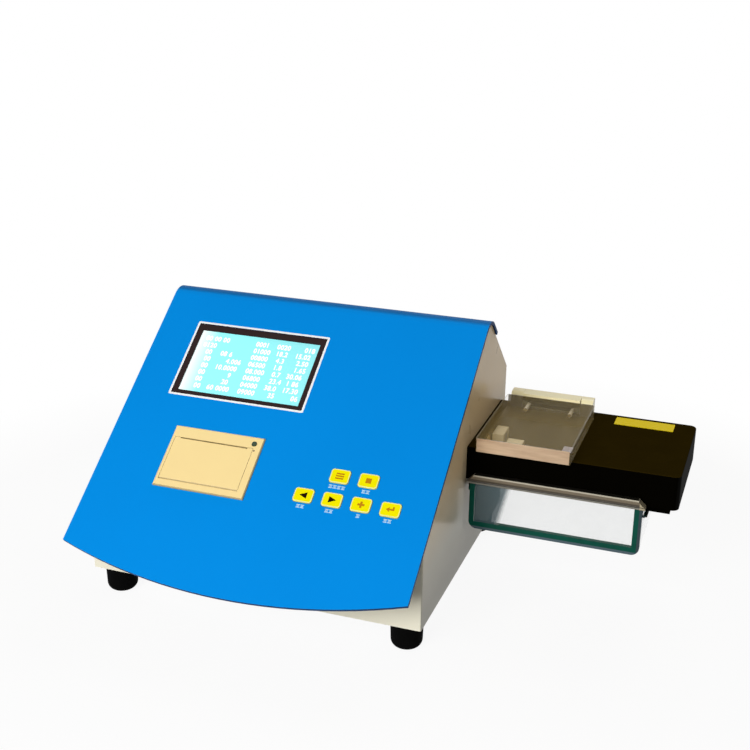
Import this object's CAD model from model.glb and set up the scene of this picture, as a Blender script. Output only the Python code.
"""Finishes, printed markings, studio and camera for a bench tablet hardness tester.

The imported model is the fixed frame. Its nodes keep their shapes and get their finishes here, and
the thin printed pieces that the solids leave out are built on top of them.
"""

from math import cos, pi, radians, sin

import bmesh
import bpy
from bpy.props import FloatProperty, FloatVectorProperty, PointerProperty
from mathutils import Matrix, Vector


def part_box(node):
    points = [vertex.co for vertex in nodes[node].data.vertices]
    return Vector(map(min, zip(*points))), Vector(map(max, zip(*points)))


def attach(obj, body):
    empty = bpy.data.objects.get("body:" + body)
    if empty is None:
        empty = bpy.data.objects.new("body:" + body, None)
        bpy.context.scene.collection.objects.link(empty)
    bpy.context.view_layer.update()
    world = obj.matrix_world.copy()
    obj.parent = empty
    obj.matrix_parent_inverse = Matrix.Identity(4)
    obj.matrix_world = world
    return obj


bl_info = {
    "name": "Tablet hardness tester finishes",
    "version": (1, 0, 0),
    "blender": (4, 5, 0),
    "location": "3D View > Sidebar > Tester",
    "description": "Finishes, markings and studio for a bench tablet hardness tester",
    "category": "Object",
}

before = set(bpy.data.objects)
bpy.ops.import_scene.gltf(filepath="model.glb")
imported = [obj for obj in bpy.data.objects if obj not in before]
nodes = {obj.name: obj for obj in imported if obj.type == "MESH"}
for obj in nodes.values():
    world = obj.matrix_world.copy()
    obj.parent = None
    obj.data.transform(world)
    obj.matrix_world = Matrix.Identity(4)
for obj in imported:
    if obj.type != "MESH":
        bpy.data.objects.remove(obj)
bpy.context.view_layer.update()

MM = 0.001
FACE_ANGLE = radians(36.4)  # slope of the operating panel

ACROSS = Vector((1, 0, 0))
UP = Vector((0, 0, 1))
UP_SLOPE = Vector((0, cos(FACE_ANGLE), sin(FACE_ANGLE)))
OUT = Vector((0, -sin(FACE_ANGLE), cos(FACE_ANGLE)))
FACE = Matrix((ACROSS, UP_SLOPE, OUT)).transposed().to_4x4()  # from the panel's coordinates

SINK = 0.02 * MM  # how far a print starts inside its surface
FLUSH = 0.01 * MM  # points this close are on one edge or level
NEAR = 0.1 * MM  # points this close to a face of the lid belong to it
TURNED = 0.6  # cosine from which a surface counts as turned towards a direction

# housing
SOIL_TOP = 100 * MM  # soil fades out upwards to this height
YELLOW_FOOT = 70 * MM  # yellowing fades in upwards from this height
FADE = 16  # how fast both fade, per metre

# keys
KEY_LINE_R = 0.4 * MM  # smallest inner corner radius of a key's line

# captions under the keys: rows of marks, each of three bars on a stem, as shares of its side
KEYS = ("key_left", "key_right", "key_plus", "key_back", "key_set", "key_stop")
CAPTION_MARKS = (2, 2, 1, 2, 4, 2)  # marks under each key
CAPTION_GAP = 0.7 * MM  # between a key and its caption
MARK_PITCH = 1.16  # from one mark to the next
MARK_BARS = ((0, 0.5), (0.38, 0.36), (0.76, 0.5))  # depth under the top and half width of each bar
BAR_H = 0.24
STEM_HALF = 0.1

# display
BORDER_GAP = 0.2 * MM  # hole of the line round the mask, beyond the mask's size
BORDER_OUTER_R = 1.2 * MM
BORDER_INNER_R = 0.3 * MM
READINGS = (  # rows of numbers, each with its start as a share of the row
    (("00 00 00", 0.05), ("0001", 0.48), ("0020", 0.66), ("018", 0.89)),
    (("0120", 0.05), ("01000", 0.48), ("18.2", 0.67), ("15.02", 0.83)),
    (("00", 0.09), ("08 6", 0.22), ("00800", 0.48), ("4.3", 0.69), ("2.50", 0.86)),
    (("00", 0.1), ("4.006", 0.29), ("06500", 0.48), ("1.8", 0.69), ("1.65", 0.86)),
    (("00", 0.1), ("10.0000", 0.22), ("08.000", 0.48), ("0.7", 0.7), ("30.06", 0.82)),
    (("00", 0.1), ("9", 0.35), ("06800", 0.48), ("23.4", 0.7), ("1 86", 0.84)),
    (("00", 0.1), ("20", 0.32), ("04000", 0.48), ("38.0", 0.68), ("17.30", 0.83)),
    (("00", 0.11), ("60 0000", 0.22), ("09000", 0.48), ("35", 0.73), ("06", 0.92)),
)
READINGS_MARGIN = 4.9 * MM  # from the edge of the mask
READINGS_TOP = 6.0 * MM  # level that the rows are counted from, under the mask's upper edge
ROW_PITCH = 0.11  # of the height between the margins
FIRST_ROW = 1.02  # pitches from that level to the middle of the first row
DIGIT_T = 0.1 * MM
TYPE_SIZE = 1.38  # type size for digits of height 1
TYPE_WEIGHT = 0.03  # extra boldness, as a share of the height
TYPE_SPACING = 1.1
TYPE_WIDTH = 0.86
DOT_PITCH = 0.48 * MM
DOT_GAP = 0.04 * MM

# mains rocker
ROCKER_R = 6.5 * MM
ROCKER_CROWN = 2.6 * MM  # face of the rocker above its pivot
ROCKER_TILT = radians(16)  # between the two halves of its face
ROCKER_MARK = 3.2 * MM  # each mark from the pivot's line
ROCKER_MARK_R = 1.5 * MM
ROCKER_LINE = 0.45 * MM

# lid and tray
LID_LINE = 1.2 * MM  # pale line along the lid's borders
EDGE_BAND = 4.5 * MM  # width over which the tray's sheet gathers green
TRAY_SKIN = 0.55 * EDGE_BAND  # outermost strip, where the bends of the sheet show
TRAY_FRONT = 4.2 * MM  # depth of the tray's front
TRAY_LIP = 1.8 * MM  # sliding lips beyond the tray's side walls
TRAY_DIM = 26 * MM  # width of the dim zone at the left of the tray's front
RIM_BANDS = (4.7 * MM, 2.9 * MM, 0.9 * MM)  # depths under the rim's top where its tone changes
RIM_SHADES = ((0.2, 0.19, 0.16), (0.055, 0.042, 0.027), (0.16, 0.125, 0.08), (0.48, 0.44, 0.34))
RIM_END = 4.5 * MM  # bright facet at the rim's right end

# studio
KEY_PLACE = (-0.4, -1.95, 1.0)
FILL_PLACE = (1.7, -0.9, 1.1)
REAR_PLACE = (0.3, 1.6, 1.7)
LAMP_AIM = Vector((0, 0.05, 0.1))
LAMP_SIZE = 1.2
FLOOR_HALF = 14.0
FLOOR_DROP = 0.05 * MM
FLOOR_WHITE = 0.91  # share of plain white in the floor that is seen
FLOOR_FADE = 0.6  # how fast that share grows, per metre, until all is white
CLEAR_FLOOR = 0.45  # distance from the tester's middle at which it starts to grow
SEEN_RAYS = ("Is Camera Ray", "Is Glossy Ray", "Is Transmission Ray")  # to these all round is white
CAMERA_PLACE = (0.30719, -0.91952, 0.55822)
CAMERA_HEADING = radians(19.366)
CAMERA_DIP = radians(20.282)
CAMERA_ROLL = radians(0.741)
CAMERA_LENS = 59.77
CAMERA_SENSOR = 36.0


def rgb(red, green, blue):
    """A colour given as screen values from 0 to 255, as the linear numbers that shaders use."""
    return tuple(
        c / 12.92 if c <= 0.04045 else ((c + 0.055) / 1.055) ** 2.4
        for c in (red / 255, green / 255, blue / 255)
    )


def tint(shade, factor):
    """A colour made lighter or darker."""
    return tuple(min(1.0, c * factor) for c in shade)


# ---------------------------------------------------------------------- settings


def length(name, description, default_mm):
    """A property for a size, whose default is given in millimetres."""
    return FloatProperty(
        name=name,
        description=description,
        default=default_mm * MM,
        min=0,
        unit="LENGTH",
        precision=5,
    )


def colour(name, description, default):
    """A property for a colour, whose default is given as screen values."""
    return FloatVectorProperty(
        name=name,
        description=description,
        default=rgb(*default),
        size=3,
        min=0,
        max=1,
        subtype="COLOR",
    )


def power(name, description, watts):
    """A property for a lamp's power."""
    return FloatProperty(name=name, description=description, default=watts, unit="POWER")


class TesterColours(bpy.types.PropertyGroup):
    """Colours of the main finishes."""

    panel: colour("Panel", "Printed face of the operating panel", (0, 143, 233))
    panel_edge: colour("Panel edge", "Cut edges and rear of the panel", (10, 62, 118))
    housing: colour("Housing", "Stove enamel of the folded case", (248, 243, 222))
    arm: colour("Arm", "Black anodised arm", (5, 4, 2))
    printer: colour("Printer", "Moulded case of the panel printer", (254, 226, 158))
    key: colour("Keys", "Moulded key caps", (255, 243, 0))
    marking: colour("Markings", "White screen print", (255, 255, 255))
    caption: colour("Captions", "Pale blue print under the keys", (185, 222, 250))
    screen: colour("Screen", "Lit field of the display", (150, 238, 245))
    tray_edge: colour("Tray edge", "Cut edges of the tray's sheet", (0, 76, 62))
    tray_cool: colour("Tray skin", "Outermost strip of the tray's front", (80, 98, 106))
    hinge: colour("Hinge", "Painted hinge bar", (255, 243, 196))
    label: colour("Label", "Blank strip on the arm", (244, 216, 0))


class TesterSizes(bpy.types.PropertyGroup):
    """Sizes of the printed pieces."""

    border_w: length("Border", "Width of the line round the display", 2.0)
    print_t: length("Print", "Thickness of the screen print above its surface", 0.06)
    key_line: length("Key line", "Width of the pale line round a key", 0.5)
    symbol: length("Symbol", "Half height of the symbol on a key", 2.9)
    caption_h: length("Caption", "Side of a square mark under a key", 3.1)
    digit_h: length("Digit", "Height of a digit on the display", 5.0)


class TesterStudio(bpy.types.PropertyGroup):
    """Lamps and surroundings."""

    key_power: power("Key lamp", "Lamp ahead and to the left", 42.0)
    fill_power: power("Fill lamp", "Lamp on the arm's side", 2.8)
    rear_power: power("Rear lamp", "Lamp behind the case", 13.0)
    sky: FloatProperty(
        name="Sky", description="Even light from all round", default=0.13, min=0, max=2
    )


# ---------------------------------------------------------------------- shader maths


class Signal:
    """A node's output that Python's operators work on; each operator adds a Math node."""

    def __init__(self, graph, socket):
        self.graph = graph
        self.socket = socket

    def maths(self, operation, first, second=0.0):
        return self.graph.node("ShaderNodeMath", {"operation": operation}, {0: first, 1: second})

    def __add__(self, other):
        return self.maths("ADD", self, other)

    __radd__ = __add__

    def __sub__(self, other):
        return self.maths("SUBTRACT", self, other)

    def __rsub__(self, other):
        return self.maths("SUBTRACT", other, self)

    def __mul__(self, other):
        return self.maths("MULTIPLY", self, other)

    __rmul__ = __mul__

    def __mod__(self, other):
        return self.maths("FLOORED_MODULO", self, other)

    def __rmod__(self, other):
        return self.maths("FLOORED_MODULO", other, self)

    def __gt__(self, other):
        return self.maths("GREATER_THAN", self, other)

    def __lt__(self, other):
        return self.maths("LESS_THAN", self, other)

    def __or__(self, other):
        return self.maths("MAXIMUM", self, other)

    __ror__ = __or__

    def __and__(self, other):
        return self.maths("MINIMUM", self, other)

    __rand__ = __and__

    def __abs__(self):
        return self.maths("ABSOLUTE", self)

    def between(self, low, high):
        """A value that goes from low to high as this one goes from 0 to 1."""
        return self * (high - low) + low

    def rise(self, slope, top=1.0):
        """This value times slope, held between 0 and top."""
        return (self * slope | 0.0) & top


class Graph:
    """A tree of shader nodes, empty at first."""

    def __init__(self, tree):
        self.tree = tree
        self.tree.nodes.clear()

    def node(self, kind, settings=None, sockets=None, outlet=0):
        """Add a node of this type: its settings come first, then its sockets' values or links."""
        made = self.tree.nodes.new(kind)
        for key, value in (settings or {}).items():
            setattr(made, key, value)
        for key, value in (sockets or {}).items():
            inlet = made.inputs[key]
            if isinstance(value, Signal):
                self.tree.links.new(value.socket, inlet)
            elif inlet.type == "RGBA":
                inlet.default_value = (*value[:3], 1)
            else:
                inlet.default_value = value
        return Signal(self, made.outputs[outlet]) if made.outputs else None

    def blend(self, share, first, second):
        """A shader between two shaders."""
        return self.node("ShaderNodeMixShader", None, {0: share, 1: first, 2: second})

    def seen(self):
        """1 for rays from the camera and for those that gloss or clear pieces pass on, else 0."""
        camera, gloss, clear = (self.node("ShaderNodeLightPath", outlet=ray) for ray in SEEN_RAYS)
        return camera | gloss | clear


class Finish(Graph):
    """One material and the nodes that make it."""

    def __init__(self, name):
        self.material = bpy.data.materials.new(name)
        self.material.use_nodes = True
        super().__init__(self.material.node_tree)
        self.place = self.node("ShaderNodeTexCoord", outlet="Object")
        self.facing = self.node("ShaderNodeTexCoord", outlet="Normal")

    def vector(self, operation, first, second, outlet="Vector"):
        return self.node(
            "ShaderNodeVectorMath", {"operation": operation}, {0: first, 1: second}, outlet
        )

    def along(self, direction):
        """How far a point lies along a direction."""
        return self.vector("DOT_PRODUCT", self.place, tuple(direction), "Value")

    def coordinates(self):
        """How far a point lies along each of the three axes."""
        return [self.along(axis) for axis in ((1, 0, 0), (0, 1, 0), (0, 0, 1))]

    def turned(self, direction):
        """How far the surface is turned towards a direction, as a cosine."""
        return self.vector("DOT_PRODUCT", self.facing, tuple(direction), "Value")

    def noise(self, scale, detail=2.0, rough=0.5, stretch=(1, 1, 1)):
        """Noise with features 1 / scale metres across, drawn out where stretch is below 1."""
        where = self.vector("MULTIPLY", self.place, tuple(stretch))
        sockets = {"Vector": where, "Scale": scale, "Detail": detail, "Roughness": rough}
        return self.node("ShaderNodeTexNoise", None, sockets)

    def cells(self, scale):
        """Distance to the middle of the nearest of many cells 1 / scale metres across."""
        sockets = {"Vector": self.place, "Scale": scale}
        return self.node("ShaderNodeTexVoronoi", None, sockets, "Distance")

    def mix(self, share, first, second):
        """A colour between two colours."""
        return self.node(
            "ShaderNodeMix", {"data_type": "RGBA"}, {0: share, 6: first, 7: second}, 2
        )

    def bump(self, height, depth):
        """A normal bent by a height whose range of 0 to 1 is depth metres deep."""
        return self.node("ShaderNodeBump", None, {"Height": height, "Distance": depth}, "Normal")

    def surface(self, base, roughness, **constants):
        """A Principled shader; keyword names are its socket names with underscores for spaces."""
        sockets = {"Base Color": base, "Roughness": roughness}
        sockets.update({key.replace("_", " "): value for key, value in constants.items()})
        return self.node("ShaderNodeBsdfPrincipled", None, sockets)

    def done(self, shader, blended=False):
        """Join the shader to the material's output and return the material."""
        self.node("ShaderNodeOutputMaterial", None, {"Surface": shader})
        if blended:
            self.material.surface_render_method = "BLENDED"
        return self.material


# ---------------------------------------------------------------------- finishes


def enamel(name, shade, peel=0.03 * MM, skin=0.35, skin_rough=0.12, soil=0.0):
    """Sprayed and baked paint with orange peel, faint clouds and a clear skin of gloss.

    Where soil is set, the arm's side is yellowed above and soiled at its foot.
    """
    f = Finish(name)
    cloud = f.noise(22, 3)
    peel_noise = f.noise(520, 2, 0.45)
    speck = f.noise(2600, 1) > 0.7
    base = f.mix(cloud, tint(shade, 0.975), tint(shade, 1.02))
    base = f.mix(speck * 0.12, base, tint(shade, 0.86))
    if soil:
        height = f.along(UP)
        arm_side = f.turned(ACROSS) > TURNED
        foot = (SOIL_TOP - height).rise(FADE)
        upper = (height - YELLOW_FOOT).rise(FADE, 0.9)
        base = f.mix(upper * arm_side, base, (1.0, 0.76, 0.44))
        base = f.mix(foot * arm_side * soil, base, (0.1, 0.1, 0.1))
    return f.done(
        f.surface(
            base,
            f.noise(60, 3).between(0.24, 0.36),
            Normal=f.bump(peel_noise, peel),
            Coat_Weight=skin,
            Coat_Roughness=skin_rough,
            Specular_IOR_Level=0.12,
        )
    )


def printed_film(name, shade, edge_shade, ridge=0.0):
    """Satin face in the panel's plane, with its lower and side edges and its rear in edge_shade.

    It gets darker, by up to the share called ridge, where it bends away over the panel's top.
    """
    f = Finish(name)
    cut_side = (abs(f.turned(ACROSS)) > TURNED) | (f.turned(-UP_SLOPE) > TURNED)
    hidden = f.turned(-OUT) > 0.75
    base = f.mix(f.noise(9, 3), tint(shade, 0.955), tint(shade, 1.03))
    base = f.mix(f.noise(3200, 1) * 0.1, base, tint(shade, 0.8))
    bend = (f.turned(UP_SLOPE) - 0.2).rise(3, ridge)
    base = f.mix(bend, base, tint(shade, 0.25))
    base = f.mix(cut_side | hidden, base, edge_shade)
    rough = f.noise(90, 3).between(0.42, 0.54)
    relief = f.bump(f.noise(1900, 2), 0.012 * MM)
    return f.done(f.surface(base, rough, Normal=relief, Specular_IOR_Level=0.05))


def moulding(name, shade, rough=0.42, grain=0.02 * MM, scale=1300, gloss=0.5, rub=1.0):
    """Moulded plastic with a fine spark-eroded texture, its lower and right sides darker by rub."""
    f = Finish(name)
    pits = f.cells(scale * 0.6) < 0.16
    base = f.mix(f.noise(30, 3), tint(shade, 0.96), tint(shade, 1.025))
    base = f.mix(pits * 0.25, base, tint(shade, 0.9))
    if rub < 1:
        handled = (f.turned(ACROSS) > 0.3) | (f.turned(-UP_SLOPE) > 0.3)
        base = f.mix(handled, base, tint(shade, rub))
    roughness = f.noise(120, 2).between(rough - 0.05, rough + 0.07)
    relief = f.bump(f.noise(scale, 3), grain)
    return f.done(f.surface(base, roughness, Normal=relief, Specular_IOR_Level=gloss))


def ink(name, shade, rough=0.5, gloss=0.5):
    """Screen print: the finest moulding texture, with hardly any depth."""
    return moulding(name, shade, rough, 0.008 * MM, 2400, gloss)


def rubber(name, shade):
    """Moulded rubber: dull, with a trace of dust."""
    f = Finish(name)
    base = f.mix(f.noise(160, 4), tint(shade, 0.8), tint(shade, 1.5))
    base = f.mix(f.noise(900, 3) * 0.02, base, (0.09, 0.088, 0.082))
    rough = f.noise(300, 2).between(0.6, 0.82)
    relief = f.bump(f.noise(700, 4), 0.04 * MM)
    return f.done(f.surface(base, rough, Normal=relief, Specular_IOR_Level=0.01))


def anodised(name, shade):
    """Bead-blasted and anodised aluminium with fine tooth, and brown dust on what faces up."""
    f = Finish(name)
    tooth = f.noise(2400, 2)
    dust = (f.turned(UP) > 0.5) * f.noise(55, 4).between(0.7, 1.0)
    base = f.mix(f.noise(40, 4), tint(shade, 0.85), tint(shade, 1.2))
    base = f.mix((tooth > 0.66) * 0.5, base, tint(shade, 1.8))
    base = f.mix(dust, base, (0.026, 0.0165, 0.0016))
    return f.done(
        f.surface(
            base,
            f.noise(70, 3).between(0.38, 0.5),
            Normal=f.bump(tooth, 0.012 * MM),
            Coat_Weight=(f.turned(ACROSS) > TURNED) * 0.035,
            Specular_IOR_Level=0.0,
        )
    )


def brushed(name, shade, stretch, rough=(0.24, 0.4), metallic=1.0):
    """Metal with lines drawn along the directions where stretch is small."""
    f = Finish(name)
    lines = f.noise(2600, 3, 0.6, stretch)
    broad = f.noise(300, 2, 0.5, stretch)
    base = f.mix(lines * 0.6 + broad * 0.4, tint(shade, 0.82), tint(shade, 1.12))
    relief = f.bump(lines, 0.012 * MM)
    return f.done(f.surface(base, lines.between(*rough), Normal=relief, Metallic=metallic))


def machined(name, shade, rough=(0.22, 0.38), metallic=1.0):
    """Turned or milled metal: fine upright tool marks and a few stains."""
    f = Finish(name)
    marks = f.noise(1800, 4, 0.6, (1, 1, 0.15))
    base = f.mix(marks, tint(shade, 0.85), tint(shade, 1.1))
    base = f.mix(f.noise(45, 4, 0.6) * 0.35, base, tint(shade, 0.7))
    relief = f.bump(marks, 0.01 * MM)
    return f.done(f.surface(base, marks.between(*rough), Normal=relief, Metallic=metallic))


def board(name, shade):
    """Circuit board: solder mask over copper tracks, with rows of pads."""
    f = Finish(name)
    u, v = f.along(ACROSS), f.along(UP_SLOPE)
    lanes = (f.noise(60, 0) > 0.5) * ((u % (3.8 * MM)) < 0.6 * MM)
    cross_lanes = (f.noise(70, 0) > 0.52) * ((v % (5.1 * MM)) < 0.6 * MM)
    tracks = lanes | cross_lanes
    pitch, pad = 2.54 * MM, 1.1 * MM
    pads = ((u % pitch) < pad) * ((v % pitch) < pad) * (f.noise(48, 0) > 0.58)
    base = f.mix(f.noise(80, 2), tint(shade, 0.9), tint(shade, 1.1))
    base = f.mix(tracks * 0.6, base, tint(shade, 1.9))
    base = f.mix(pads, base, (0.62, 0.6, 0.55))
    rough = f.noise(200, 2).between(0.28, 0.4)
    relief = f.bump(tracks | pads, 0.03 * MM)
    return f.done(f.surface(base, rough, Normal=relief, Metallic=pads * 0.8))


def paper(name, shade):
    """Wound paper: fibres and the faint lines of its turns."""
    f = Finish(name)
    fibre = f.noise(2200, 4, 0.7, (1, 1, 0.4))
    turns = f.noise(5200, 1, 0.5, (0.05, 1, 1))
    base = f.mix(fibre * 0.5 + turns * 0.5, tint(shade, 0.93), tint(shade, 1.02))
    relief = f.bump(turns, 0.03 * MM)
    return f.done(f.surface(base, fibre.between(0.8, 0.95), Normal=relief))


def lamp(name, shade, strength):
    """Coloured lens of a button or a lamp, with a faint glow."""
    f = Finish(name)
    base = f.mix(f.noise(600, 2), tint(shade, 0.8), tint(shade, 1.15))
    return f.done(
        f.surface(
            base,
            f.noise(900, 2).between(0.18, 0.3),
            Emission_Color=base,
            Emission_Strength=strength,
            Coat_Weight=0.4,
        )
    )


def screen(name, shade):
    """Lit display field: a fine dot grid, more cyan to the left, and a white flare at that edge."""
    f = Finish(name)
    left, right, foot, head = face_span("lcd_glass")[:4]
    u, v = f.along(ACROSS), f.along(UP_SLOPE)
    across = (u - left) * (1 / (right - left))
    up = (v - foot) * (1 / (head - foot))
    dots = ((u % DOT_PITCH) < DOT_GAP) | ((v % DOT_PITCH) < DOT_GAP)
    glow = (1 - across) * 0.6 + (1 - up) * 0.15 + f.noise(18, 2) * 0.25
    base = f.mix(glow, tint(shade, 0.85), (0.3, 1, 1))
    base = f.mix((0.16 - across).rise(6), base, (1, 1, 1))
    base = f.mix(dots * 0.12, base, tint(shade, 0.5))
    return f.done(
        f.surface(
            base,
            f.noise(400, 2).between(0.1, 0.16),
            Emission_Color=base,
            Emission_Strength=0.3,
            Specular_IOR_Level=0.3,
        )
    )


def clear_slab(name):
    """Clear acrylic: a thin warm veil, pale lines round its top, a milky front and a dark rear."""
    f = Finish(name)
    low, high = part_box("lid")
    x, y, z = f.coordinates()
    wipe = f.noise(70, 3, 0.6, (1, 0.3, 1))
    streak = f.noise(60, 3, 0.6, (0.5, 1, 4))
    level = abs(f.turned(UP)) > 0.7
    front = (y < low.y + NEAR) * (1 - level)
    rear = (y > high.y - NEAR) * (1 - level)
    sides = (x < low.x + LID_LINE) | (x > high.x - LID_LINE)
    ends = (y < low.y + LID_LINE) | (y > high.y - LID_LINE)
    border = (sides | ends) * (z > high.z - NEAR)
    shade = f.mix(wipe, (0.76, 0.55, 0.2), (0.92, 0.71, 0.3))
    shade = f.mix(border, shade, (0.62, 0.55, 0.4))
    shade = f.mix(front, shade, f.mix(streak, (0.38, 0.22, 0.13), (0.86, 0.64, 0.42)))
    shade = f.mix(rear, shade, (0.07, 0.055, 0.03))
    cover = level * wipe.between(0.11, 0.18) | border * 0.35 | front * 0.92 | rear * 0.9 | 0.06
    rough = wipe.between(0.08, 0.2)
    return f.done(f.surface(shade, rough, Alpha=cover, Specular_IOR_Level=0.4), blended=True)


def edge_lit_sheet(name, edge_shade, cool_shade):
    """Clear sheet, nearly invisible through its faces, that gathers green along its cut edges."""
    f = Finish(name)
    low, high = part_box("tray")
    low, high = low + TRAY_LIP * ACROSS, high - TRAY_LIP * ACROSS
    x, y, z = f.coordinates()
    front = y < low.y + TRAY_FRONT
    cool_right = (x > high.x - TRAY_SKIN) * front
    cool = cool_right | (z < low.z + TRAY_SKIN) * front
    left = x < low.x + EDGE_BAND
    right = x > high.x - TRAY_SKIN - 0.9 * EDGE_BAND
    foot = z < low.z + TRAY_SKIN + 0.95 * EDGE_BAND
    green = (left | right | foot) * front
    brim = (f.turned(UP) > 0.7) * (z > low.z + 2 * EDGE_BAND)
    dim = (TRAY_DIM - (x - low.x) + (z - low.z) * 0.25).rise(90, 0.5) * front
    wipe = f.noise(90, 3)
    deep = f.mix(f.noise(160, 3), tint(edge_shade, 0.75), tint(edge_shade, 1.25))
    shade = f.mix(wipe, (0.78, 0.84, 0.84), (0.9, 0.96, 0.95))
    shade = f.mix(dim * 2, shade, rgb(84, 104, 110))
    shade = f.mix(green | brim, shade, deep)
    shade = f.mix(cool, shade, f.mix(cool_right, cool_shade, tint(cool_shade, 0.5)))
    cover = green | cool * 0.95 | brim * 0.6 | dim * 1.4 | wipe.between(0.05, 0.09)
    rough = wipe.between(0.06, 0.16)
    return f.done(f.surface(shade, rough, Alpha=cover, Specular_IOR_Level=0.1), blended=True)


def rim_finish(name):
    """Brushed steel: a bright line along its bevel, a band that dulls downwards, a paler foot."""
    f = Finish(name)
    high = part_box("tray_rim")[1]
    height = f.along(UP)
    lines = f.noise(2600, 3, 0.6, (0.03, 1, 1))
    shade = RIM_SHADES[0]
    for depth, band in zip(RIM_BANDS, RIM_SHADES[1:]):
        shade = f.mix(height > high.z - depth, shade, band)
    shade = f.mix(f.along(ACROSS) > high.x - RIM_END, shade, (0.42, 0.36, 0.23))
    shade = f.mix(lines * 0.2, shade, (0.1, 0.08, 0.06))
    shade = f.mix(f.turned(UP) > 0.9, shade, (0.008, 0.007, 0.005))
    relief = f.bump(lines, 0.01 * MM)
    return f.done(f.surface(shade, lines.between(0.3, 0.42), Normal=relief, Metallic=0.35))


def wear(node, material):
    """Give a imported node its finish."""
    shape = nodes[node]
    if not shape.material_slots:
        shape.data.materials.append(material)
    for place in shape.material_slots:
        place.material = material


# ---------------------------------------------------------------------- shapes


def on_face(node):
    """The places of a node's points on the panel: across, up the slope and out of it."""
    return [FACE.transposed() @ v.co for v in nodes[node].data.vertices]


def face_span(node):
    """A node's extent on the panel: across, up the slope and out of it, as six numbers."""
    places = on_face(node)
    return [limit(p[i] for p in places) for i in range(3) for limit in (min, max)]


def rounded(u, s, width, height, radius, steps=6):
    """Outline of a rectangle with round corners, about the point (u, s)."""
    half_w, half_h = width / 2 - radius, height / 2 - radius
    turns = [(1, 1, 0), (-1, 1, 1), (-1, -1, 2), (1, -1, 3)]
    return [
        (
            u + side * half_w + radius * cos(pi / 2 * (quarter + i / steps)),
            s + end * half_h + radius * sin(pi / 2 * (quarter + i / steps)),
        )
        for side, end, quarter in turns
        for i in range(steps + 1)
    ]


def bar(u0, s0, u1, s1):
    """Outline of a plain rectangle between two corners."""
    return [(u0, s0), (u1, s0), (u1, s1), (u0, s1)]


def fill_faces(shape, pairs):
    """Join the two loops of points in each pair, which have the same count, with faces."""
    for first, second in pairs:
        for i in range(len(first)):
            j = (i + 1) % len(first)
            shape.faces.new((first[i], first[j], second[j], second[i]))


def ring(outer, inner, low, high):
    """Fills a bmesh with a flat frame between two outlines that have the same count of points."""

    def build(shape):
        loops = [
            [shape.verts.new((*p, level)) for p in outline]
            for outline, level in ((outer, low), (outer, high), (inner, high), (inner, low))
        ]
        fill_faces(shape, zip(loops, loops[1:] + loops[:1]))

    return build


def slabs(outlines, low, high):
    """Fills a bmesh with flat plates, one for each outline."""

    def build(shape):
        for outline in outlines:
            bottom = [shape.verts.new((*p, low)) for p in outline]
            top = [shape.verts.new((*p, high)) for p in outline]
            shape.faces.new(bottom)
            shape.faces.new(top)
            fill_faces(shape, [(bottom, top)])

    return build


def linked(name, data):
    """An object with this data, linked to the scene."""
    made = bpy.data.objects.new(name, data)
    bpy.context.scene.collection.objects.link(made)
    return made


def mesh_object(name, shape, material):
    """An object made from a bmesh, in this finish."""
    mesh = bpy.data.meshes.new(name)
    shape.to_mesh(mesh)
    shape.free()
    made = linked(name, mesh)
    made.data.materials.append(material)
    return made


def carried(name, shape, place, material, body):
    """A piece made from a bmesh in its own coordinates, put in its place to ride on a body."""
    bmesh.ops.recalc_face_normals(shape, faces=shape.faces)
    shape.transform(place)
    made = mesh_object(name, shape, material)
    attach(made, body)
    return made


def solid(name, build, material, body, place=FACE):
    """A piece made by a function that fills a bmesh, riding on a body."""
    shape = bmesh.new()
    build(shape)
    return carried(name, shape, place, material, body)


def digits(name, lines, high, thick, material, body):
    """Numbers in plain type, laid on the display: lines holds (text, u, s) with s at the foot."""
    merged = bmesh.new()
    for text, u, s in lines:
        curve = bpy.data.curves.new(name, "FONT")
        curve.body = text
        curve.size = high * TYPE_SIZE
        curve.extrude = thick / 2
        curve.offset = high * TYPE_WEIGHT
        curve.space_character = TYPE_SPACING
        letters = linked(name, curve)
        bpy.context.view_layer.update()
        mesh = bpy.data.meshes.new_from_object(letters)
        mesh.transform(Matrix.Translation((u, s, 0)) @ Matrix.Diagonal((TYPE_WIDTH, 1, 1, 1)))
        merged.from_mesh(mesh)
        bpy.data.objects.remove(letters)
        bpy.data.curves.remove(curve)
        bpy.data.meshes.remove(mesh)
    bmesh.ops.remove_doubles(merged, verts=merged.verts, dist=0.001 * MM)
    place = FACE @ Matrix.Translation((0, 0, face_span("lcd_glass")[5]))
    return carried(name, merged, place, material, body)


# ---------------------------------------------------------------------- operators


class Maker:
    """What every operator of this file has in common."""

    bl_options = {"REGISTER", "UNDO"}

    def execute(self, context):
        scene = context.scene
        self.make(scene.tester_colours, scene.tester_sizes, scene.tester_studio)
        return {"FINISHED"}


class TESTER_OT_housing(Maker, bpy.types.Operator):
    """Finish the folded case, its base, feet and fasteners"""

    bl_idname = "tester.housing"
    bl_label = "Housing"

    def make(self, colours, sizes, studio):
        case = enamel(
            "housing_enamel", colours.housing, peel=0.02 * MM, skin=0.05, skin_rough=0.03, soil=0.45
        )
        wear("housing_shell", case)
        wear("base_plate", brushed("zinc_sheet", (0.52, 0.53, 0.55), (0.08, 1, 1), (0.32, 0.5)))
        wear("case_fasteners", machined("zinc_fastener", (0.6, 0.6, 0.6)))
        wear("feet", rubber("foot_rubber", (0.002, 0.002, 0.002)))
        wear("standoffs", machined("spacer_steel", (0.55, 0.54, 0.5)))


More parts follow.
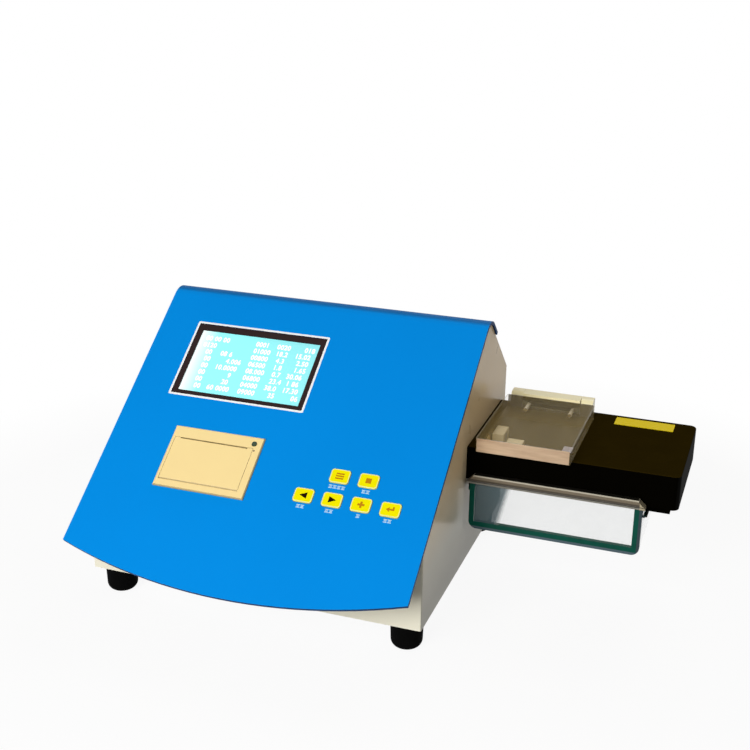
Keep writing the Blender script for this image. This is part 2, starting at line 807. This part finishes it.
class TESTER_OT_panel(Maker, bpy.types.Operator):
    """Finish the operating panel and print its lines and marks"""

    bl_idname = "tester.panel"
    bl_label = "Operating panel"

    def make(self, colours, sizes, studio):
        film = printed_film("panel_print_blue", colours.panel, colours.panel_edge, ridge=0.6)
        wear("front_panel", film)
        level = face_span("front_panel")[5]
        low, high = level - SINK, level + sizes.print_t
        self.display_border(colours, sizes, low, high)
        self.captions(colours, sizes, low, high)

    def display_border(self, colours, sizes, low, high):
        """Print the white line round the display's mask."""
        u0, u1, s0, s1 = face_span("lcd_bezel")[:4]
        u, s, width, height = (u0 + u1) / 2, (s0 + s1) / 2, u1 - u0, s1 - s0
        line = 2 * sizes.border_w
        outer = rounded(u, s, width + line, height + line, BORDER_OUTER_R)
        inner = rounded(u, s, width + BORDER_GAP, height + BORDER_GAP, BORDER_INNER_R)
        white = ink("marking_white", colours.marking)
        border = solid("display_border", ring(outer, inner, low, high), white, "housing")

    def captions(self, colours, sizes, low, high):
        """Print a row of marks under each key."""
        marks = []
        side = sizes.caption_h
        for key, count in zip(KEYS, CAPTION_MARKS):
            u0, u1, s0, _ = face_span(key)[:4]
            top = s0 - CAPTION_GAP
            for i in range(count):
                u = (u0 + u1) / 2 + (i - (count - 1) / 2) * MARK_PITCH * side
                for step, half in MARK_BARS:
                    wide, foot = half * side, top - (step + BAR_H) * side
                    marks.append(bar(u - wide, foot, u + wide, top - step * side))
                stem, foot = STEM_HALF * side, top - MARK_BARS[-1][0] * side
                marks.append(bar(u - stem, foot, u + stem, top - BAR_H * side))
        pale_blue = ink("caption_blue", colours.caption)
        captions = solid("key_captions", slabs(marks, low, high), pale_blue, "housing")


class TESTER_OT_display(Maker, bpy.types.Operator):
    """Finish the display and write its rows of readings"""

    bl_idname = "tester.display"
    bl_label = "Display"

    def make(self, colours, sizes, studio):
        mask = moulding("display_mask", (0.034, 0.02, 0.02), 0.4, 0.01 * MM, gloss=0.03)
        wear("lcd_bezel", mask)
        wear("lcd_glass", screen("display_field", colours.screen))
        wear("lcd_board", board("display_board", (0.02, 0.16, 0.05)))
        u0, u1, s0, s1 = face_span("lcd_bezel")[:4]
        width = u1 - u0 - 2 * READINGS_MARGIN
        pitch = ROW_PITCH * (s1 - s0 - 2 * READINGS_MARGIN)
        start, top = u0 + READINGS_MARGIN, s1 - READINGS_TOP - sizes.digit_h / 2
        lines = [
            (text, start + share * width, top - (row + FIRST_ROW) * pitch)
            for row, texts in enumerate(READINGS)
            for text, share in texts
        ]
        white = lamp("display_digits", rgb(255, 255, 255), 0.75)
        readings = digits("display_readings", lines, sizes.digit_h, DIGIT_T, white, "housing")


class TESTER_OT_printer(Maker, bpy.types.Operator):
    """Finish the panel printer"""

    bl_idname = "tester.printer"
    bl_label = "Panel printer"

    def make(self, colours, sizes, studio):
        beige = moulding("printer_moulding", colours.printer, 0.4, 0.014 * MM, 1500, rub=0.5)
        wear("printer_case", beige)
        wear("printer_door", beige)
        wear("platen_roller", rubber("platen_rubber", (0.03, 0.03, 0.032)))
        wear("printer_head", moulding("printer_black", (0.02, 0.02, 0.022), 0.38))
        wear("paper_roll", paper("till_paper", (0.86, 0.85, 0.82)))
        wear("feed_button", lamp("feed_green", rgb(24, 54, 16), 0.02))
        wear("printer_led", lamp("lamp_brown", rgb(90, 60, 30), 0.03))


class TESTER_OT_keys(Maker, bpy.types.Operator):
    """Finish the keys and print their lines and symbols"""

    bl_idname = "tester.keys"
    bl_label = "Keys"

    def symbols(self, size):
        """Outlines of each key's symbol about its middle."""
        tick = 0.32 * size
        thin, long, low, high = 0.8 * tick, 1.2 * size, 0.8 * size, 0.9 * size
        end, neck = 1.1 * size, 0.3 * size
        arrow = [(-long, 0), (size, -size), (size, size)]
        return {
            "key_left": [arrow],
            "key_right": [[(-x, y) for x, y in reversed(arrow)]],
            "key_plus": [
                bar(-size, -tick, size, tick),
                bar(-tick, tick, tick, size),
                bar(-tick, -size, tick, -tick),
            ],
            "key_back": [
                [(-1.3 * size, 0), (-neck, -low), (-neck, low)],
                bar(-neck, -thin, end, thin),
                bar(end - 2 * thin, thin, end, high),
            ],
            "key_set": [
                bar(-long, y - 0.7 * tick, long, y + 0.7 * tick)
                for y in (-0.75 * size, 0, 0.75 * size)
            ],
            "key_stop": [bar(-low, -low, low, low)],
        }

    def make(self, colours, sizes, studio):
        yellow = printed_film("key_moulding", colours.key, rgb(228, 226, 150))
        pale = ink("key_line_white", rgb(246, 246, 190), 0.42, 0.1)
        black = ink("key_ink_black", (0.012, 0.004, 0.001), 0.6, 0.02)
        amber = ink("key_ink_amber", (0.56, 0.24, 0.0), 0.5, 0.2)
        wear("keypad_board", board("keypad_board_green", (0.02, 0.14, 0.06)))
        for key, symbol in self.symbols(sizes.symbol).items():
            wear(key, yellow)
            u0, u1, s0, s1, _, level = face_span(key)
            u, s, line = (u0 + u1) / 2, (s0 + s1) / 2, sizes.key_line
            low, high = level - SINK, level + sizes.print_t
            cap_w, cap_h, cap_r = self.cap(key, level)
            inner_r = max(cap_r - line, KEY_LINE_R)
            outer = rounded(u, s, cap_w, cap_h, cap_r)
            inner = rounded(u, s, cap_w - 2 * line, cap_h - 2 * line, inner_r)
            name = key.removeprefix("key_")
            edge = solid(f"key_line_{name}", ring(outer, inner, low, high), pale, key)
            moved = [[(u + x, s + y) for x, y in outline] for outline in symbol]
            tone = black if key in ("key_left", "key_right") else amber
            sign = solid(f"key_symbol_{name}", slabs(moved, low, high), tone, key)

    def cap(self, key, level):
        """Width, height and corner radius of the flat top of a key."""
        flat = [p for p in on_face(key) if p.z > level - FLUSH]
        right = max(p.x for p in flat)
        width = right - min(p.x for p in flat)
        height = max(p.y for p in flat) - min(p.y for p in flat)
        straight = [p.y for p in flat if p.x > right - FLUSH]
        return width, height, (height - (max(straight) - min(straight))) / 2


class TESTER_OT_arm(Maker, bpy.types.Operator):
    """Finish the arm, its crushing chamber and its blank strip"""

    bl_idname = "tester.arm"
    bl_label = "Arm and chamber"

    def make(self, colours, sizes, studio):
        cream, violet = (0.9, 0.76, 0.46), (0.44, 0.4, 0.5)
        wear("arm_body", anodised("arm_anodised", colours.arm))
        wear("arm_bottom_plate", anodised("arm_plate_anodised", tint(colours.arm, 0.7)))
        wear("arm_bolts", machined("bolt_steel", (0.09, 0.09, 0.09), (0.3, 0.45)))
        wear("arm_label", printed_film("strip_yellow", colours.label, tint(colours.label, 0.6)))
        wear("moving_jaw", machined("jaw_steel", cream, (0.3, 0.45), 0.1))
        wear("fixed_jaw", machined("fixed_jaw_steel", (0.42, 0.38, 0.46), (0.3, 0.45), 0.2))
        wear("tablet_rest", brushed("rest_polished", violet, (0.05, 1, 1), (0.28, 0.4), 0.2))
        wear("load_cell", brushed("cell_aluminium", (0.72, 0.72, 0.72), (1, 0.1, 1)))
        wear("guide_block", machined("guide_steel", cream, (0.3, 0.44), 0.1))
        wear("ram_bush", machined("bush_bronze", (0.6, 0.38, 0.16), (0.25, 0.4)))


class TESTER_OT_lid(Maker, bpy.types.Operator):
    """Finish the clear lid, its screws and its hinge"""

    bl_idname = "tester.lid"
    bl_label = "Lid and hinge"

    def make(self, colours, sizes, studio):
        wear("lid", clear_slab("lid_acrylic"))
        cream = enamel("hinge_enamel", colours.hinge)
        wear("hinge_knuckle", cream)
        wear("hinge_ears", cream)
        wear("hinge_pin", machined("pin_steel", (0.7, 0.7, 0.68)))
        wear("lid_screws", moulding("lid_screw_white", (0.98, 0.9, 0.7), 0.35))


class TESTER_OT_tray(Maker, bpy.types.Operator):
    """Finish the tray, its rim and its rails"""

    bl_idname = "tester.tray"
    bl_label = "Tray"

    def make(self, colours, sizes, studio):
        wear("tray", edge_lit_sheet("tray_sheet", colours.tray_edge, colours.tray_cool))
        wear("tray_rim", rim_finish("rim_steel"))
        wear("tray_rails", anodised("rail_anodised", colours.arm))


class TESTER_OT_drive(Maker, bpy.types.Operator):
    """Finish the ram, its screw and the motor"""

    bl_idname = "tester.drive"
    bl_label = "Drive"

    def make(self, colours, sizes, studio):
        steel = machined("drive_steel", (0.66, 0.65, 0.63))
        for node in ("motor_shaft", "lead_screw", "guide_rod", "ram_tube", "screw_bearing"):
            wear(node, steel)
        milled = brushed("drive_aluminium", (0.74, 0.74, 0.75), (0.05, 1, 1))
        carriers = ("deck_plate", "deck_pillars", "mount_plate", "bearing_block", "ram_carriage")
        for node in (*carriers, "shaft_coupling"):
            wear(node, milled)
        wear("motor_bracket", brushed("bracket_steel", (0.5, 0.51, 0.53), (1, 1, 0.05)))
        wear("drive_motor", moulding("motor_black", (0.02, 0.02, 0.022), 0.4))
        wear("ram_nut", machined("nut_bronze", (0.62, 0.42, 0.18)))


class TESTER_OT_electronics(Maker, bpy.types.Operator):
    """Finish the boards, the supply and the sockets at the rear"""

    bl_idname = "tester.electronics"
    bl_label = "Electronics and sockets"

    def make(self, colours, sizes, studio):
        wear("main_board", board("main_board_green", (0.015, 0.13, 0.05)))
        wear("power_supply", brushed("supply_sheet", (0.68, 0.69, 0.7), (0.06, 1, 1), (0.34, 0.5)))
        wear("power_inlet", moulding("inlet_black", (0.018, 0.018, 0.02), 0.36))
        wear("power_rocker", moulding("rocker_black", (0.03, 0.028, 0.028), 0.28))
        wear("serial_port", machined("port_shell", (0.7, 0.69, 0.66)))
        self.rocker_marks(ink("rocker_print", colours.marking), sizes.print_t)

    def rocker_marks(self, material, thick):
        """Print a stroke on the rocker's upper half and a ring on its lower half."""
        low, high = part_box("power_rocker")
        middle = (low + high) / 2
        crown = Vector((middle.x, low.y + ROCKER_R + ROCKER_CROWN, middle.z))
        behind = Matrix.Rotation(pi, 4, "Z") @ Matrix.Rotation(pi / 2, 4, "X")
        radii = (ROCKER_MARK_R, ROCKER_MARK_R - ROCKER_LINE)
        outer, inner = (rounded(0, -ROCKER_MARK, 2 * r, 2 * r, r) for r in radii)
        half, foot, head = ROCKER_LINE / 2, ROCKER_MARK - ROCKER_MARK_R, ROCKER_MARK + ROCKER_MARK_R
        marks = (
            ("rocker_ring", ring(outer, inner, -thick, thick), 0.0),
            ("rocker_stroke", slabs([bar(-half, foot, half, head)], -thick, thick), -ROCKER_TILT),
        )
        for name, build, tilt in marks:
            place = Matrix.Translation(crown) @ Matrix.Rotation(tilt, 4, "X") @ behind
            mark = solid(name, build, material, "power_rocker", place)


class TESTER_OT_stage(Maker, bpy.types.Operator):
    """Lay the floor, light the set and place the camera"""

    bl_idname = "tester.stage"
    bl_label = "Floor, lamps and camera"

    def make(self, colours, sizes, studio):
        self.floor()
        self.sky(studio.sky)
        self.area("key_lamp", KEY_PLACE, studio.key_power)
        self.area("fill_lamp", FILL_PLACE, studio.fill_power)
        self.area("rear_lamp", REAR_PLACE, studio.rear_power)
        self.camera()

    def floor(self):
        """Lay a grey sheet that looks nearly white, and whiter far off, to whatever sees it."""
        f = Finish("floor_paper")
        seen = f.seen()
        grain = f.noise(14, 4)
        grey = f.mix(grain, (0.28, 0.28, 0.27), (0.34, 0.34, 0.33))
        pale = f.mix(grain, (0.93, 0.93, 0.93), (1, 1, 1))
        rough = f.noise(40, 3).between(0.7, 0.85)
        sheet = f.surface(f.mix(seen, grey, pale), rough, Specular_IOR_Level=0.0)
        white = f.node("ShaderNodeEmission", None, {"Color": (1, 1, 1), "Strength": 1.0})
        far = f.vector("LENGTH", f.place, (0, 0, 0), "Value")
        fade = (far - CLEAR_FLOOR).rise(FLOOR_FADE, 1 - FLOOR_WHITE)
        material = f.done(f.blend(seen * (fade + FLOOR_WHITE), sheet, white))
        shape = bmesh.new()
        bmesh.ops.create_grid(shape, x_segments=40, y_segments=40, size=FLOOR_HALF)
        made = mesh_object("floor", shape, material)
        made.location.z = -FLOOR_DROP

    def sky(self, strength):
        """Fill the surroundings with weak warm light that looks white to whatever sees it."""
        world = bpy.data.worlds.new("studio_sky")
        bpy.context.scene.world = world
        world.use_nodes = True
        graph = Graph(world.node_tree)
        kind = "ShaderNodeBackground"
        light = graph.node(kind, None, {"Color": (1, 0.95, 0.88), "Strength": strength})
        white = graph.node(kind, None, {"Color": (1, 1, 1), "Strength": 1.0})
        both = graph.blend(graph.seen(), light, white)
        graph.node("ShaderNodeOutputWorld", None, {"Surface": both})

    def area(self, name, place, watts):
        """Hang a square lamp that points at the tester."""
        light = bpy.data.lights.new(name, "AREA")
        light.shape = "SQUARE"
        light.size = LAMP_SIZE
        light.energy = watts
        made = linked(name, light)
        made.location = place
        made.rotation_euler = (LAMP_AIM - made.location).to_track_quat("-Z", "Y").to_euler()

    def camera(self):
        eye = bpy.data.cameras.new("camera")
        eye.sensor_width = CAMERA_SENSOR
        eye.lens = CAMERA_LENS
        made = linked("camera", eye)
        made.matrix_world = (
            Matrix.Translation(CAMERA_PLACE)
            @ Matrix.Rotation(CAMERA_HEADING, 4, "Z")
            @ Matrix.Rotation(pi / 2 - CAMERA_DIP, 4, "X")
            @ Matrix.Rotation(CAMERA_ROLL, 4, "Z")
        )
        bpy.context.scene.camera = made
        bpy.context.scene.view_settings.view_transform = "Standard"


OPERATORS = (
    TESTER_OT_housing,
    TESTER_OT_panel,
    TESTER_OT_display,
    TESTER_OT_printer,
    TESTER_OT_keys,
    TESTER_OT_arm,
    TESTER_OT_lid,
    TESTER_OT_tray,
    TESTER_OT_drive,
    TESTER_OT_electronics,
    TESTER_OT_stage,
)


class TESTER_PT_panel(bpy.types.Panel):
    """Lists the tester's settings and operators in the sidebar"""

    bl_label = "Tablet hardness tester"
    bl_idname = "TESTER_PT_panel"
    bl_space_type = "VIEW_3D"
    bl_region_type = "UI"
    bl_category = "Tester"

    def draw(self, context):
        scene = context.scene
        for group in (scene.tester_colours, scene.tester_sizes, scene.tester_studio):
            box = self.layout.box()
            for name in group.__annotations__:
                box.prop(group, name)
        for operator in OPERATORS:
            self.layout.operator(operator.bl_idname)


CLASSES = (TesterColours, TesterSizes, TesterStudio, *OPERATORS, TESTER_PT_panel)


def register():
    for kind in CLASSES:
        bpy.utils.register_class(kind)
    bpy.types.Scene.tester_colours = PointerProperty(type=TesterColours)
    bpy.types.Scene.tester_sizes = PointerProperty(type=TesterSizes)
    bpy.types.Scene.tester_studio = PointerProperty(type=TesterStudio)


def unregister():
    del bpy.types.Scene.tester_colours
    del bpy.types.Scene.tester_sizes
    del bpy.types.Scene.tester_studio
    for kind in reversed(CLASSES):
        bpy.utils.unregister_class(kind)


def main():
    """Register the add-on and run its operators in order."""
    register()
    for operator in OPERATORS:
        group, name = operator.bl_idname.split(".")
        getattr(getattr(bpy.ops, group), name)()


if __name__ == "__main__":
    main()
